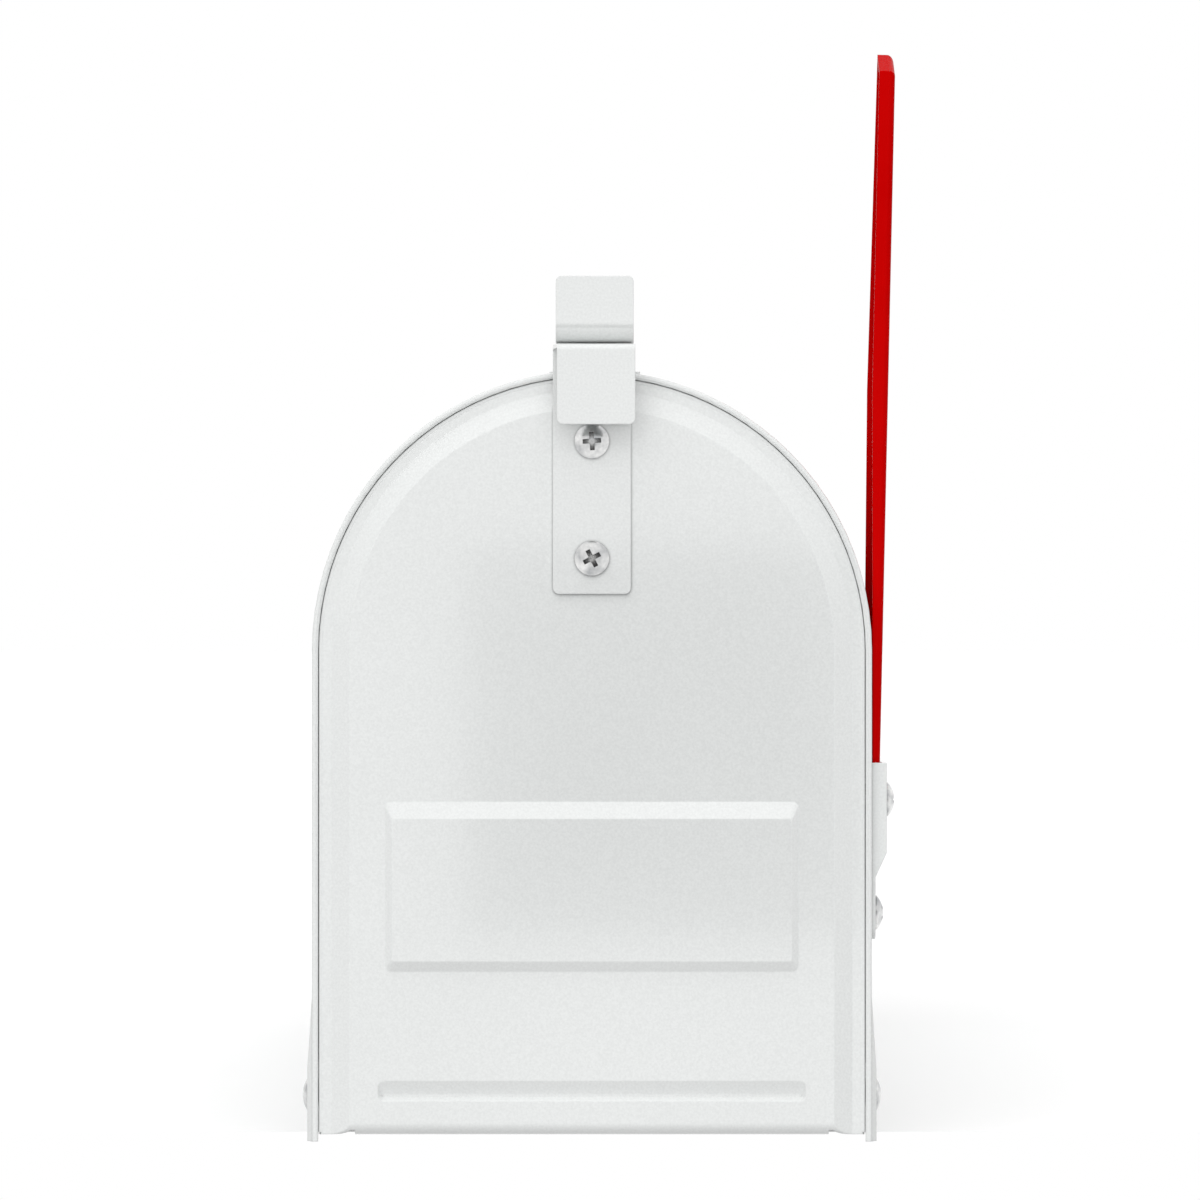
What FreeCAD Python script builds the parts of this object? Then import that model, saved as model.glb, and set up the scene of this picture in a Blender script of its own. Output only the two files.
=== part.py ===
"""Rural mailbox: arched sheet steel body, drop-down door with a strap latch, roof catch and signal flag.

Millimetres. X runs to the flag's side, Y to the rear and Z up. The skirts stand on Z = 0.
"""
import FreeCAD, Part
import math
import os
import Sketcher

# Driving dimensions, one cell of the sheet each
DIMENSIONS = {
    # Body: an inverted U of sheet with a rolled front edge and a crimped rear edge
    "body_width": 159.0,
    "body_height": 219.0,
    "body_length": 476.0,
    "body_sheet": 0.8,
    "front_y": -232.0,
    "rim_width": 1.8,
    "rim_depth": 2.0,
    "rim_round": 0.7,
    "rear_lip": 2.6,
    "seam_gap": 0.05,
    # Pressed bosses that carry the hinge rivets
    "boss_rise": 1.4,
    "boss_start": 0.5,
    "boss_front_slope": 2.0,
    "boss_length": 24.0,
    "boss_rear_slope": 6.0,
    "boss_above_hinge": 7.6,
    "boss_fade": 20.0,
    # Holes through the skirts for the screws into a mounting board
    "skirt_hole": 5.2,
    "skirt_hole_height": 11.0,
    "skirt_hole_start": 60.0,
    "skirt_hole_end": 86.0,
    # Floor tray above the board recess
    "board_recess": 22.0,
    "floor_sheet": 0.8,
    "floor_front_gap": 1.5,
    "floor_notch_gap": 1.0,
    "floor_wall": 4.0,
    "floor_bend_inside": 0.8,
    "floor_rib_width": 14.0,
    "floor_rib_rise": 1.5,
    "floor_rib_pitch": 50.0,
    "floor_rib_margin": 40.0,
    # Rear panel
    "rear_sheet": 0.8,
    "rear_inset": 9.0,
    "rear_rim": 8.0,
    "rear_slope": 6.0,
    "rear_rise": 4.0,
    "rear_bend_inside": 0.8,
    # Door: rim, slope and raised field, with a flange turned back all round
    "door_gap": 0.3,
    "door_sheet": 0.8,
    "door_rim": 3.4,
    "door_slope": 5.3,
    "door_raise": 2.6,
    "door_recess": 1.0,
    "door_flange": 5.0,
    "door_edge_bend_inside": 0.2,
    "door_bottom": 1.9,
    "door_bottom_bend_inside": 2.7,
    "door_bottom_lip": 6.0,
    # Raised bare field on the door and the groove below it
    "field_margin": 10.1,
    "field_bottom": 48.3,
    "field_height": 48.2,
    "field_top_slope": 4.8,
    "field_side_slope": 2.0,
    "field_bottom_slope": 3.0,
    "field_rise": 1.5,
    "field_foot_corner": 1.8,
    "field_corner": 0.7,
    "groove_margin": 7.9,
    "groove_bottom": 11.6,
    "groove_short_slope": 1.3,
    "groove_valley": 0.6,
    "groove_valley_corner": 0.2,
    "groove_mouth_corner": 2.0,
    "groove_long_slope": 3.85,
    "groove_depth": 1.5,
    # Hinge
    "hinge_back": 7.5,
    "ear_radius": 7.0,
    "ear_floor_gap": 2.2,
    "ear_gap": 0.3,
    "rivet_shank": 4.8,
    "rivet_head": 10.0,
    "rivet_dome": 1.6,
    "rivet_tail": 7.6,
    "rivet_tail_height": 1.0,
    "pin_play": 0.05,
    "washer_outer": 9.0,
    # Strap latch on the door
    "strap_width": 22.1,
    "strap_sheet": 1.2,
    "strap_bend_inside": 0.6,
    "strap_corner": 1.8,
    "strap_end": 10.1,
    "fold_rise": 7.0,
    "finger_gap": 8.0,
    "flap_length": 22.8,
    "flap_shift": 1.2,
    "latch_screw_drop": 27.3,
    "latch_screw_pitch": 33.2,
    # Spring catch on the roof
    "catch_width": 22.0,
    "catch_sheet": 1.2,
    "catch_shift": 0.8,
    "catch_gap": 0.4,
    "catch_ramp_foot": 20.0,
    "catch_ramp_run": 11.0,
    "catch_leg": 3.0,
    "catch_bend_inside": 4.5,
    "catch_tab": 18.8,
    "catch_corner": 1.5,
    "catch_screw_start": 10.0,
    "catch_screw_pitch": 20.0,
    "catch_end": 10.0,
    "seat_rise": 0.3,
    "seat_margin": 2.0,
    # Flag bracket on the right-hand wall
    "bracket_sheet": 1.2,
    "bracket_start": 4.0,
    "bracket_width": 30.0,
    "pocket_room": 3.2,
    "pivot_height": 96.5,
    "bracket_above_pivot": 10.9,
    "bevel_below_pivot": 14.7,
    "bevel_height": 7.0,
    "bracket_screw_drop": 10.8,
    "bracket_end": 7.0,
    "bracket_corner": 4.0,
    # Flag: a pan with its edges turned in towards the body
    "flag_sheet": 0.8,
    "flag_depth": 4.6,
    "flag_lean": 1.26,
    "flag_play": 0.7,
    "flag_wall_gap": 0.5,
    "flag_arm": 22.0,
    "flag_reach": 214.0,
    "flag_head_width": 47.0,
    "flag_shoulder": 50.0,
    "flag_head_slant": 22.0,
    "flag_tip_width": 14.0,
    "flag_tip_drop": 6.0,
    "flag_bend": 1.9,
    # Dished spring washer under the flag's foot
    "spring_outer": 12.0,
    "spring_sheet": 0.6,
    "spring_height": 1.3,
    # Cross-recess pan head screws and their nuts
    "screw_shank": 4.8,
    "screw_head": 9.8,
    "screw_head_edge": 1.0,
    "screw_dome": 1.9,
    "screw_tip": 1.6,
    "hole_play": 0.2,
    "recess_span": 5.2,
    "recess_arm": 1.3,
    "recess_depth": 1.7,
    "nut_across_flats": 8.0,
    "nut_height": 3.2,
    "nut_play": 0.05,
}

# Turn of each latch screw's cross about its own axis, and of the other screws
LATCH_SCREW_SPINS = (28.0, 4.0)
OTHER_SCREW_SPINS = (12.0, 40.0)

TOP_PLANE = "XY_Plane"
FRONT_PLANE = "XZ_Plane"
SIDE_PLANE = "YZ_Plane"
CCW = 1
CW = -1
MARGIN = 1.0
LAP = 3.0

doc = FreeCAD.newDocument("rural_mailbox")
sheet = doc.addObject("Spreadsheet::Sheet", "dims")


class Size:
    """A number with the expression that ties it to the sheet."""

    def __init__(self, value, text):
        self.value = value
        self.text = text

    def __add__(self, other):
        other = as_size(other)
        return Size(self.value + other.value, f"({self.text} + {other.text})")

    def __sub__(self, other):
        other = as_size(other)
        return Size(self.value - other.value, f"({self.text} - {other.text})")

    def __mul__(self, other):
        other = as_size(other)
        return Size(self.value * other.value, f"({self.text} * {other.text})")

    def __truediv__(self, other):
        other = as_size(other)
        return Size(self.value / other.value, f"({self.text} / {other.text})")

    def __neg__(self):
        return Size(-self.value, f"(0 - {self.text})")


def as_size(number):
    if isinstance(number, Size):
        return number
    return Size(float(number), f"({float(number)})")


def root(size):
    return Size(math.sqrt(size.value), f"sqrt({size.text})")


class Dimensions:
    """The sheet's cells by alias."""

    def __init__(self):
        for row, (alias, value) in enumerate(DIMENSIONS.items(), start=1):
            sheet.set(f"A{row}", alias.replace("_", " "))
            sheet.set(f"B{row}", str(value))
            sheet.setAlias(f"B{row}", alias)
        doc.recompute()

    def __getattr__(self, alias):
        return Size(float(sheet.get(alias)), f"dims.{alias}")


def bind(item, name, size):
    item.setExpression(name, as_size(size).text)


def bend_shift(sheet_size, rise, run):
    """How far a folded sheet's far corner lies before its near corner."""
    return sheet_size * (root(run * run + rise * rise) - run) / rise


# Sketches

def circle(x, y, radius):
    return ("circle", as_size(x), as_size(y), as_size(radius))


def corner(x, y, radius=None, turn=None):
    """A corner, reached by an arc of the given radius and turn where there is one."""
    return (as_size(x), as_size(y), radius, turn)


def hold_point(drawing, geometry, point, x, y):
    for kind, axis, size in (("DistanceX", -2, x), ("DistanceY", -1, y)):
        if size.value == 0.0:
            drawing.addConstraint(Sketcher.Constraint("PointOnObject", geometry, point, axis))
        else:
            number = drawing.addConstraint(Sketcher.Constraint(kind, -1, 1, geometry, point, size.value))
            bind(drawing, f"Constraints[{number}]", size)


def hold_radius(drawing, geometry, radius):
    number = drawing.addConstraint(Sketcher.Constraint("Radius", geometry, radius.value))
    bind(drawing, f"Constraints[{number}]", radius)


def arc_between(start, end, radius, turn):
    """The shorter arc from start to end, with its centre on the side it turns to."""
    chord = end - start
    height = math.sqrt(max(radius * radius - chord.Length ** 2 / 4, 0.0))
    across = FreeCAD.Vector(-chord.y, chord.x, 0).normalize()
    centre = (start + end) / 2 + across * height * turn
    first, last = (start, end) if turn == CCW else (end, start)
    angles = [math.atan2(p.y - centre.y, p.x - centre.x) for p in (first, last)]
    whole = Part.Circle(centre, FreeCAD.Vector(0, 0, 1), radius)
    return Part.ArcOfCircle(whole, angles[0], angles[1])


def draw_outline(drawing, corners):
    """A closed run of lines and arcs, every corner and radius bound to the sheet."""
    pieces = []
    for before, here in zip([corners[-1]] + corners[:-1], corners):
        start = FreeCAD.Vector(before[0].value, before[1].value, 0)
        end = FreeCAD.Vector(here[0].value, here[1].value, 0)
        if here[2] is None:
            pieces.append((drawing.addGeometry(Part.LineSegment(start, end)), 1, 2))
            continue
        number = drawing.addGeometry(arc_between(start, end, here[2].value, here[3]))
        pieces.append((number, 1, 2) if here[3] == CCW else (number, 2, 1))
    following = pieces[1:] + pieces[:1]
    for (number, _, end), (next_number, next_start, _), here in zip(pieces, following, corners):
        drawing.addConstraint(Sketcher.Constraint("Coincident", number, end, next_number, next_start))
        hold_point(drawing, number, end, here[0], here[1])
    for (number, _, _), here in zip(pieces, corners):
        if here[2] is not None:
            hold_radius(drawing, number, here[2])


def sketch(body, name, plane, loops, offset):
    """A sketch on one of the body's own planes, moved along the plane's normal by offset."""
    drawing = body.newObject("Sketcher::SketchObject", name)
    support = next(item for item in body.Origin.OriginFeatures if item.Role == plane)
    drawing.AttachmentSupport = [(support, "")]
    drawing.MapMode = "FlatFace"
    bind(drawing, "AttachmentOffset.Base.z", offset)
    for loop in loops:
        if loop[0] == "circle":
            whole = Part.Circle(FreeCAD.Vector(loop[1].value, loop[2].value, 0),
                                FreeCAD.Vector(0, 0, 1), loop[3].value)
            number = drawing.addGeometry(whole)
            hold_point(drawing, number, 3, loop[1], loop[2])
            hold_radius(drawing, number, loop[3])
        else:
            draw_outline(drawing, loop)
    return drawing


# Features

def new_body(name):
    body = doc.addObject("PartDesign::Body", name)
    body.Label = name
    return body


def station(plane, place):
    """The plane's offset that puts a sketch at this place along X, Y or Z."""
    return -as_size(place) if plane == FRONT_PLANE else as_size(place)


def prism(body, name, plane, loops, low, high, cut=False):
    """A pad, or a pocket, of the loops between two places along the plane's axis."""
    low, high = as_size(low), as_size(high)
    start = high if plane == FRONT_PLANE else low
    drawing = sketch(body, f"{name}_sketch", plane, loops, station(plane, start))
    feature = body.newObject("PartDesign::Pocket" if cut else "PartDesign::Pad", name)
    feature.Profile = drawing
    feature.Reversed = cut
    bind(feature, "Length", high - low)
    return feature


def loft(body, name, plane, ends, cut=False):
    """A straight-sided blend between two outlines, each with its place along the plane's axis."""
    drawings = []
    for number, (outline, place) in enumerate(ends):
        drawings.append(sketch(body, f"{name}_{number}", plane, [outline], station(plane, place)))
    feature = body.newObject("PartDesign::SubtractiveLoft" if cut else "PartDesign::AdditiveLoft", name)
    feature.Profile = drawings[0]
    feature.Sections = drawings[1:]
    feature.Ruled = True
    return feature


def round_edges(body, name, radius, chosen):
    """A fillet on the edges of the body that the test picks."""
    doc.recompute()
    base = body.Tip
    names = [f"Edge{number}" for number, edge in enumerate(base.Shape.Edges, start=1) if chosen(edge)]
    feature = body.newObject("PartDesign::Fillet", name)
    feature.Base = (base, names)
    bind(feature, "Radius", radius)
    return feature


def runs_along(edge, axis):
    """True for a straight edge parallel to the axis, 0, 1 or 2."""
    if not isinstance(edge.Curve, Part.Line):
        return False
    return abs(abs(edge.Curve.Direction[axis]) - 1.0) < 1e-6


def spans(edge, axis):
    box = edge.BoundBox
    return ((box.XMin, box.XMax), (box.YMin, box.YMax), (box.ZMin, box.ZMax))[axis]


def lies_at(edge, axis, place):
    low, high = spans(edge, axis)
    return abs(low - place.value) < 1e-4 and abs(high - place.value) < 1e-4


def rectangle(left, right, bottom, top):
    return [corner(left, bottom), corner(right, bottom), corner(right, top), corner(left, top)]


def rounded_rectangle(left, right, bottom, top, radius):
    left, right, bottom, top = (as_size(side) for side in (left, right, bottom, top))
    return [
        corner(left + radius, bottom),
        corner(right - radius, bottom),
        corner(right, bottom + radius, radius, CCW),
        corner(right, top - radius),
        corner(right - radius, top, radius, CCW),
        corner(left + radius, top),
        corner(left, top - radius, radius, CCW),
        corner(left, bottom + radius),
        corner(left + radius, bottom, radius, CCW),
    ][1:]


def arch(half, spring, bottom):
    """Straight sides up to the spring line and a half circle above it."""
    return [
        corner(half, bottom),
        corner(half, spring),
        corner(0, spring + half, half, CCW),
        corner(-half, spring, half, CCW),
        corner(-half, bottom),
    ]


def arch_band(half, spring, bottom, thickness):
    """The arch as a strip of the given thickness, open at the bottom."""
    inner = half - thickness
    return arch(half, spring, bottom) + [
        corner(-inner, bottom),
        corner(-inner, spring),
        corner(0, spring + inner, inner, CW),
        corner(inner, spring, inner, CW),
        corner(inner, bottom),
    ]


def put(body, x, y, z, rotation):
    """Places a body, its point bound to the sheet."""
    body.Placement = FreeCAD.Placement(FreeCAD.Vector(), rotation)
    for axis, size in zip("xyz", (x, y, z)):
        bind(body, f"Placement.Base.{axis}", size)


def group(name, bodies):
    """Like pieces as one node of separate solids."""
    item = doc.addObject("Part::Compound", name)
    item.Label = name
    item.Links = bodies
    return item


# Places that several pieces share

d = Dimensions()
front = d.front_y
rear = front + d.body_length
wall = d.body_width / 2
wall_inside = wall - d.body_sheet
spring_line = d.body_height - wall
boss_face = wall + d.boss_rise
hinge_y = front + d.hinge_back
hinge_z = d.board_recess - d.ear_floor_gap - d.ear_radius
rivet_radius = d.rivet_shank / 2
screw_radius = d.screw_shank / 2
screw_hole = screw_radius + d.hole_play
door_half = wall - d.rim_width - d.door_gap
rim_face = front + d.door_recess
panel_face = rim_face - d.door_raise
panel_edge = door_half - d.door_rim - d.door_slope
flange_start = rim_face + d.door_edge_bend_inside + d.door_sheet
strap_face = panel_face - d.strap_sheet
flap_face = strap_face - d.finger_gap - d.strap_sheet
fold_top = d.body_height + d.fold_rise
latch_screw_high = fold_top - d.latch_screw_drop
latch_screw_low = latch_screw_high - d.latch_screw_pitch
catch_seat = d.body_height + d.seat_rise
ramp_foot = front + d.catch_ramp_foot
catch_screw_places = [ramp_foot + d.catch_screw_start, ramp_foot + d.catch_screw_start + d.catch_screw_pitch]
catch_rear = catch_screw_places[1] + d.catch_end
bracket_front = front + d.bracket_start
bracket_rear = bracket_front + d.bracket_width
pivot_y = bracket_front + d.bracket_width / 2
bracket_top = d.pivot_height + d.bracket_above_pivot
bevel_high = d.pivot_height - d.bevel_below_pivot
bevel_low = bevel_high - d.bevel_height
bracket_screw_height = bevel_low - d.bracket_screw_drop
bracket_bottom = bracket_screw_height - d.bracket_end
pocket_inside = wall + d.pocket_room
pocket_face = pocket_inside + d.bracket_sheet
flag_face = pocket_inside - d.flag_play


# Body

def build_body_shell():
    body = new_body("body_shell")
    prism(body, "wrapper", FRONT_PLANE, [arch_band(wall, spring_line, 0, d.body_sheet)], front, rear)
    prism(body, "rim", FRONT_PLANE, [arch_band(wall, spring_line, 0, d.rim_width)],
          front, front + d.rim_depth)
    prism(body, "crimp", FRONT_PLANE, [arch_band(wall, spring_line, 0, d.rear_lip)],
          rear - d.body_sheet, rear)
    round_edges(body, "rim_rounding", d.rim_round,
                lambda edge: lies_at(edge, 1, front) and spans(edge, 2)[1] > MARGIN)
    add_hinge_bosses(body)
    add_catch_seat(body)
    cut_body_holes(body)
    return body


def add_hinge_bosses(body):
    """Outward pressings at the lower front corners, hollow behind."""
    start = front + d.boss_start
    end = front + d.boss_length
    flat_top = hinge_z + d.boss_above_hinge
    fade_top = flat_top + d.boss_fade
    foot = rectangle(start, end, 0, fade_top)
    flat = rectangle(start + d.boss_front_slope, end - d.boss_rear_slope, 0, flat_top)
    hollow_foot = rectangle(front + d.rim_depth, end, -MARGIN, fade_top)
    hollow_flat = rectangle(start + d.boss_front_slope + d.body_sheet / 2, end - d.boss_rear_slope,
                            -MARGIN, flat_top)
    for side, sign in (("left", -1), ("right", 1)):
        loft(body, f"boss_{side}", SIDE_PLANE, [(foot, wall * sign), (flat, boss_face * sign)])
        loft(body, f"boss_hollow_{side}", SIDE_PLANE,
             [(hollow_foot, wall_inside * sign), (hollow_flat, (boss_face - d.body_sheet) * sign)], cut=True)


def add_catch_seat(body):
    """A flat on the crown for the catch strip."""
    half = d.catch_width / 2 + d.seat_margin
    middle = wall - d.body_sheet / 2
    left = d.catch_shift - half
    right = d.catch_shift + half
    outline = [
        corner(right, spring_line + root(middle * middle - right * right)),
        corner(right, catch_seat),
        corner(left, catch_seat),
        corner(left, spring_line + root(middle * middle - left * left)),
        corner(right, spring_line + root(middle * middle - right * right), middle, CW),
    ][1:]
    prism(body, "seat", FRONT_PLANE, [outline], ramp_foot, catch_rear + d.seat_margin)


def cut_body_holes(body):
    skirt_places = [front + d.skirt_hole_start, rear - d.skirt_hole_end]
    across = [circle(y, d.skirt_hole_height, d.skirt_hole / 2) for y in skirt_places]
    across.append(circle(hinge_y, hinge_z, rivet_radius + d.nut_play))
    prism(body, "side_holes", SIDE_PLANE, across, -boss_face - MARGIN, boss_face + MARGIN, cut=True)
    flag_side = [circle(pivot_y, height, screw_hole) for height in (d.pivot_height, bracket_screw_height)]
    prism(body, "flag_holes", SIDE_PLANE, flag_side, wall_inside - MARGIN, wall + MARGIN, cut=True)
    roof = [circle(d.catch_shift, y, screw_hole) for y in catch_screw_places]
    prism(body, "roof_holes", TOP_PLANE, roof, spring_line, catch_seat + MARGIN, cut=True)


def build_floor_pan():
    """A tray with long edges turned up, two ribs, and front corners that clear the door's rim and flange."""
    body = new_body("floor_pan")
    half = wall_inside - d.seam_gap
    bottom = d.board_recess
    top = bottom + d.floor_sheet
    wall_top = bottom + d.floor_wall
    inner = half - d.floor_sheet
    inner_bend = d.floor_bend_inside
    bend = inner_bend + d.floor_sheet
    section = [
        corner(half - bend, bottom),
        corner(half, bottom + bend, bend, CCW),
        corner(half, wall_top),
        corner(inner, wall_top),
        corner(inner, bottom + bend),
        corner(half - bend, top, inner_bend, CW),
        corner(bend - half, top),
        corner(-inner, bottom + bend, inner_bend, CW),
        corner(-inner, wall_top),
        corner(-half, wall_top),
        corner(-half, bottom + bend),
        corner(bend - half, bottom, bend, CCW),
    ]
    start = panel_face + d.door_sheet + d.floor_front_gap
    end = rear - d.rear_inset - d.seam_gap
    prism(body, "tray", FRONT_PLANE, [section], start, end)
    rim_back = rim_face + d.door_sheet + d.floor_notch_gap
    flange_side = door_half - d.door_sheet - d.floor_notch_gap
    flange_back = rim_face + d.door_flange + d.floor_notch_gap
    for side, sign in (("left", -1), ("right", 1)):
        notch = [
            corner((panel_edge - d.floor_notch_gap) * sign, start - MARGIN),
            corner((panel_edge - d.floor_notch_gap) * sign, start),
            corner((flange_side - d.door_rim) * sign, rim_back),
            corner(flange_side * sign, rim_back),
            corner(flange_side * sign, flange_back),
            corner((half + MARGIN) * sign, flange_back),
            corner((half + MARGIN) * sign, start - MARGIN),
        ]
        prism(body, f"notch_{side}", TOP_PLANE, [notch], bottom - MARGIN, wall_top + MARGIN, cut=True)
    rib_half = d.floor_rib_width / 2
    inset = rib_half / 2
    hollow_shift = bend_shift(d.floor_sheet, d.floor_rib_rise, inset)
    for side, sign in (("left", -1), ("right", 1)):
        centre = d.floor_rib_pitch / 2 * sign
        for name, base, shift, cut in (("rib", top, as_size(0), False),
                                       ("rib_hollow", bottom, hollow_shift, True)):
            reach = rib_half - shift
            foot = rectangle(centre - reach, centre + reach,
                             start + d.floor_rib_margin + shift, end - d.floor_rib_margin - shift)
            crown = rectangle(centre - reach + inset, centre + reach - inset,
                              start + d.floor_rib_margin + inset + shift,
                              end - d.floor_rib_margin - inset - shift)
            loft(body, f"{name}_{side}", TOP_PLANE, [(foot, base), (crown, base + d.floor_rib_rise)], cut=cut)
    return body


def stamp_panel(body, half, bottom, plate_bottom, face, flange_end, rim, slope, rise, thickness, inner_bend):
    """An arched stamping: flange, rim, slope and plate. A positive rise stands forward of the rim."""
    bend = inner_bend + thickness
    edge = half - rim - slope
    plate = face - rise
    shift = bend_shift(thickness, rise, slope)
    section = [
        corner(half, face + bend),
        corner(half - bend, face, bend, CW),
        corner(half - rim, face),
        corner(edge, plate),
        corner(edge - LAP, plate),
        corner(edge - LAP, plate + thickness),
        corner(edge - shift, plate + thickness),
        corner(half - rim - shift, face + thickness),
        corner(half - bend, face + thickness),
        corner(half - thickness, face + bend, inner_bend, CCW),
        corner(half - thickness, flange_end),
        corner(half, flange_end),
    ]
    drawing = sketch(body, "section", TOP_PLANE, [section], spring_line)
    side = body.newObject("PartDesign::Pad", "side")
    side.Profile = drawing
    side.Reversed = True
    bind(side, "Length", spring_line - bottom)
    mirrored = body.newObject("PartDesign::Mirrored", "other_side")
    mirrored.Originals = [side]
    middle = next(item for item in body.Origin.OriginFeatures if item.Role == SIDE_PLANE)
    mirrored.MirrorPlane = (middle, [""])
    body.Tip = mirrored
    crown = body.newObject("PartDesign::Revolution", "crown")
    crown.Profile = drawing
    crown.ReferenceAxis = (drawing, ["V_Axis"])
    crown.Angle = 180.0
    crown.Reversed = True
    prism(body, "plate", FRONT_PLANE, [arch(edge - LAP / 2, spring_line, plate_bottom)],
          plate, plate + thickness)


def build_rear_panel():
    body = new_body("rear_panel")
    stamp_panel(body, wall_inside - d.seam_gap, as_size(0), as_size(0), rear - d.rear_inset,
                rear - d.body_sheet - d.seam_gap, d.rear_rim, d.rear_slope, -d.rear_rise,
                d.rear_sheet, d.rear_bend_inside)
    return body


# Door

def build_door_panel():
    body = new_body("door_panel")
    low = d.door_bottom
    inner_bend = d.door_bottom_bend_inside
    bend = inner_bend + d.door_sheet
    stamp_panel(body, door_half, low, low + bend, rim_face, rim_face + d.door_flange,
                d.door_rim, d.door_slope, d.door_raise, d.door_sheet, d.door_edge_bend_inside)
    trim = [
        corner(panel_face, low + bend),
        corner(panel_face + bend, low, bend, CCW),
        corner(panel_face + bend, low - MARGIN),
        corner(panel_face - MARGIN, low - MARGIN),
        corner(panel_face - MARGIN, low + bend),
    ]
    prism(body, "bottom_trim", SIDE_PLANE, [trim], -door_half - MARGIN, door_half + MARGIN, cut=True)
    lip_end = panel_face + bend + d.door_bottom_lip
    lip = [
        corner(panel_face, low + bend),
        corner(panel_face + bend, low, bend, CCW),
        corner(lip_end, low),
        corner(lip_end, low + d.door_sheet),
        corner(panel_face + bend, low + d.door_sheet),
        corner(panel_face + d.door_sheet, low + bend, inner_bend, CW),
    ]
    lip_half = panel_edge - LAP / 2
    prism(body, "bottom_lip", SIDE_PLANE, [lip], -lip_half, lip_half)
    add_door_ears(body)
    add_door_field(body)
    add_door_groove(body)
    holes = [circle(0, height, screw_hole) for height in (latch_screw_low, latch_screw_high)]
    prism(body, "latch_holes", FRONT_PLANE, holes, panel_face - MARGIN, rim_face + MARGIN, cut=True)
    return body


def add_door_ears(body):
    """Round-ended ears on the side flanges, bored for the hinge rivets."""
    reach = d.ear_radius
    ear = [
        corner(hinge_y, hinge_z - reach),
        corner(hinge_y + reach, hinge_z, reach, CCW),
        corner(hinge_y, hinge_z + reach, reach, CCW),
        corner(flange_start, hinge_z + reach),
        corner(flange_start, hinge_z - reach),
    ]
    prism(body, "ear_left", SIDE_PLANE, [ear], -door_half, d.door_sheet - door_half)
    prism(body, "ear_right", SIDE_PLANE, [ear], door_half - d.door_sheet, door_half)
    bore = circle(hinge_y, hinge_z, rivet_radius + d.pin_play)
    prism(body, "hinge_bores", SIDE_PLANE, [bore], -door_half - MARGIN, door_half + MARGIN, cut=True)


def add_door_field(body):
    """A raised bare field with sloping edges, hollow behind."""
    half = panel_edge - d.field_margin
    low = d.field_bottom
    high = low + d.field_height
    shift = bend_shift(d.door_sheet, d.field_rise, d.field_side_slope)
    for name, face, inset, cut in (("field", panel_face, as_size(0), False),
                                   ("field_hollow", panel_face + d.door_sheet, shift, True)):
        foot = rounded_rectangle(inset - half, half - inset, low + inset, high - inset, d.field_foot_corner)
        side = half - inset - d.field_side_slope
        crown = rounded_rectangle(-side, side, low + inset + d.field_bottom_slope,
                                  high - inset - d.field_top_slope, d.field_corner)
        loft(body, name, FRONT_PLANE, [(foot, face), (crown, face - d.field_rise)], cut=cut)


def add_door_groove(body):
    """A pressed-in groove: a long slope down to the valley and a short one back out."""
    half = panel_edge - d.groove_margin
    short = d.groove_short_slope
    valley_low = d.groove_bottom + short
    valley_high = valley_low + d.groove_valley
    top = valley_high + d.groove_long_slope
    shift = bend_shift(d.door_sheet, d.groove_depth, short)
    for name, face, grow, cut in (("groove_back", panel_face + d.door_sheet, shift, False),
                                  ("groove", panel_face, as_size(0), True)):
        mouth = rounded_rectangle(-half - grow, half + grow, d.groove_bottom - grow, top + grow,
                                  d.groove_mouth_corner)
        valley = rounded_rectangle(short - half - grow, half - short + grow, valley_low - grow,
                                   valley_high + grow, d.groove_valley_corner)
        loft(body, name, FRONT_PLANE, [(mouth, face), (valley, face + d.groove_depth)], cut=cut)


def build_door_latch():
    """A strap up the door, folded forward and down at the top into a finger flap."""
    body = new_body("door_latch")
    inner_bend = d.strap_bend_inside
    bend = inner_bend + d.strap_sheet
    flap_back = flap_face + d.strap_sheet
    top = fold_top
    under = top - d.strap_sheet
    strap_bottom = latch_screw_low - d.strap_end
    flap_bottom = top - d.flap_length
    profile = [
        corner(panel_face, strap_bottom),
        corner(panel_face, top - bend),
        corner(panel_face - bend, top, bend, CCW),
        corner(flap_face + bend, top),
        corner(flap_face, top - bend, bend, CCW),
        corner(flap_face, flap_bottom),
        corner(flap_back, flap_bottom),
        corner(flap_back, top - bend),
        corner(flap_face + bend, under, inner_bend, CW),
        corner(panel_face - bend, under),
        corner(strap_face, top - bend, inner_bend, CW),
        corner(strap_face, strap_bottom),
    ]
    half = d.strap_width / 2
    reach = half + d.flap_shift
    prism(body, "strip", SIDE_PLANE, [profile], -reach, reach)
    for name, edge, outer in (("trim_right", half, reach + MARGIN), ("trim_left", -half, -reach - MARGIN)):
        side = [
            corner(edge, panel_face + MARGIN),
            corner(edge, strap_face),
            corner(edge + d.flap_shift, flap_back),
            corner(edge + d.flap_shift, flap_face - MARGIN),
            corner(outer, flap_face - MARGIN),
            corner(outer, panel_face + MARGIN),
        ]
        prism(body, name, TOP_PLANE, [side], strap_bottom - MARGIN, top + MARGIN, cut=True)
    holes = [circle(0, height, screw_hole) for height in (latch_screw_low, latch_screw_high)]
    prism(body, "screw_holes", FRONT_PLANE, holes, strap_face - MARGIN, panel_face + MARGIN, cut=True)
    ends = (strap_bottom, flap_bottom)
    round_edges(body, "corners", d.strap_corner,
                lambda edge: runs_along(edge, 1) and any(lies_at(edge, 2, end) for end in ends))
    return body


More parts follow.
